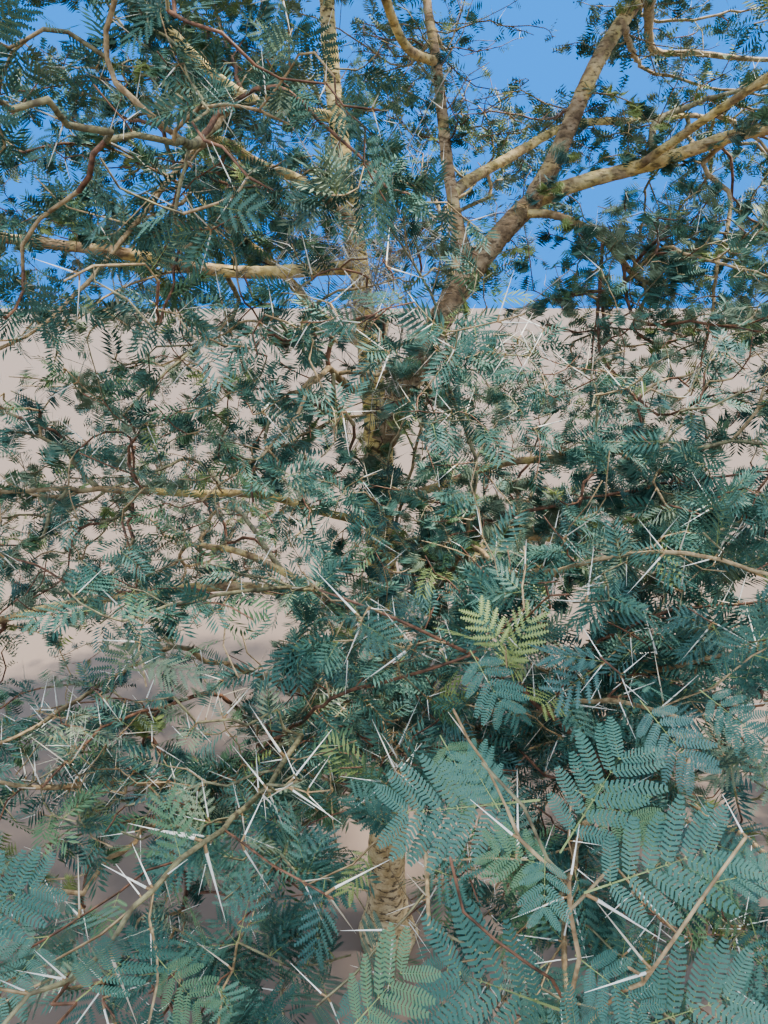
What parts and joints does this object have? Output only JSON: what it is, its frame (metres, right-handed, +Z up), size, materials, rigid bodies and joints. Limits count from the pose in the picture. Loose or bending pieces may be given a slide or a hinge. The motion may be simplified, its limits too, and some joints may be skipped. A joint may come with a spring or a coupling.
{
  "type": "acacia tree",
  "caption": "Young thorn acacia with a short trunk, spreading forked boughs and open, low-hanging feathery foliage.",
  "frame": {"origin": "middle of the trunk's flat cut at ground level", "axes": "+Z up along the trunk; +Y away from the viewer who sees the fork's lower stem on the left; +X to that viewer's right"},
  "size_m": [3.9723, 3.2804, 3.8151],
  "materials": {
    "bark": "rough",
    "foliage": "matte"
  },
  "bodies": {
    "root": {"back_bough": "bark", "back_left_bough": "bark", "back_right_bough": "bark", "core_bough": "bark", "core_left_bough": "bark", "core_right_bough": "bark", "foliage_back": "foliage", "foliage_back_left": "foliage", "foliage_back_right": "foliage", "foliage_core": "foliage", "foliage_core_left": "foliage", "foliage_core_right": "foliage", "foliage_front_left": "foliage", "foliage_front_right": "foliage", "foliage_inner_right": "foliage", "foliage_left": "foliage", "foliage_low_back_left": "foliage", "foliage_low_back_right": "foliage", "foliage_low_front_left": "foliage", "foliage_low_front_right": "foliage", "foliage_low_left": "foliage", "foliage_low_right": "foliage", "foliage_right": "foliage", "foliage_top": "foliage", "foliage_upper_back": "foliage", "foliage_upper_front": "foliage", "foliage_upper_left": "foliage", "foliage_upper_right": "foliage", "forward_right_bough": "bark", "front_left_bough": "bark", "inner_right_bough": "bark", "leader": "bark", "left_bough": "bark", "low_back_left_bough": "bark", "low_back_right_bough": "bark", "low_front_left_bough": "bark", "low_front_right_bough": "bark", "low_left_bough": "bark", "low_right_bough": "bark", "middle_stem": "bark", "right_arm": "bark", "right_bough": "bark", "right_upper_arm": "bark", "trunk": "bark", "upper_front_bough": "bark", "upper_left_bough": "bark"}
  },
  "joints": []
}
